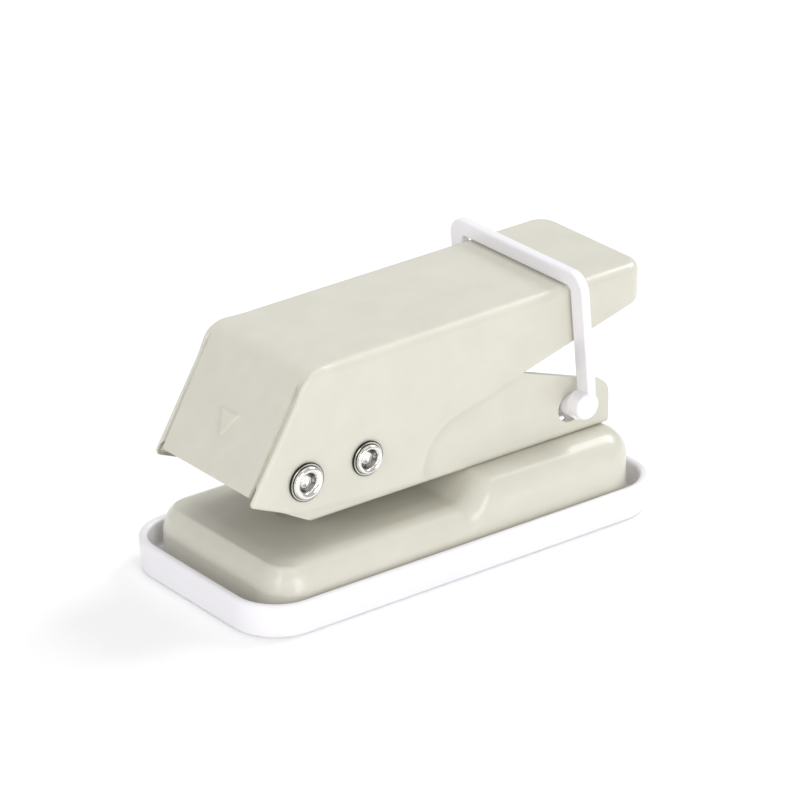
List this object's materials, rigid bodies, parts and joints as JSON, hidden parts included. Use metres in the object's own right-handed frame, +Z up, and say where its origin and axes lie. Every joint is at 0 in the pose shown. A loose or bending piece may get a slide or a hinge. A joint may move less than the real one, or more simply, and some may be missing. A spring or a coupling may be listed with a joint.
{
  "type": "single hole punch",
  "caption": "Desk hole punch with a sheet-metal lever riveted to a channel frame, a stepped base, a shallow chip tray and a plastic loop that holds the handle down.",
  "frame": {"origin": "middle of the chip tray's underside", "axes": "+X to the rear (handle end), -X to the front (paper mouth), +Y to the far side, +Z up"},
  "size_m": [0.104, 0.05, 0.0562],
  "materials": {
    "cream_paint": "satin cream enamel",
    "white_plastic": "smooth white moulding",
    "bright_nickel": "bright plated",
    "plain_steel": "plain turned steel"
  },
  "bodies": {
    "tray": {"chip_tray": "white_plastic"},
    "machine": {"base_shell": "cream_paint", "die_bush": "plain_steel", "die_rivets": "plain_steel", "frame_channel": "cream_paint", "frame_rivets": "plain_steel", "punch_guide": "plain_steel", "pivot_rivet": "bright_nickel", "pivot_washers": "bright_nickel", "pivot_spacer": "plain_steel", "spring_washer": "plain_steel", "return_spring": "plain_steel"},
    "lever": {"lever_cover": "cream_paint", "drive_rivet": "bright_nickel", "drive_washers": "bright_nickel", "drive_spacers": "plain_steel"},
    "punch": {"punch_cutter": "plain_steel", "punch_head": "plain_steel"},
    "bail": {"lock_bail": "white_plastic"}
  },
  "joints": [
    {"name": "tray_release", "type": "slide", "parent": "tray", "child": "machine", "axis": [0, 0, 1], "range_m": [0, 0.03]},
    {"name": "lever_press", "type": "hinge", "parent": "machine", "child": "lever", "pos_m": [-0.0355, 0, 0.0284], "axis": [0, 1, 0], "range_deg": [0, 9], "stiffness_Nm_per_rad": 0.7, "springref_deg": -12.03},
    {"name": "punch_stroke", "type": "slide", "parent": "machine", "child": "punch", "axis": [0, 0, -1], "range_m": [0, 0.00236], "deforming": ["return_spring"]},
    {"name": "bail_swing", "type": "hinge", "parent": "machine", "child": "bail", "pos_m": [0.033, 0, 0.0254], "axis": [0, 1, 0], "range_deg": [-3, 8]}
  ],
  "couplings": [
    {"joint": "punch_stroke", "follows": "lever_press", "m_per_rad": 0.015}
  ]
}
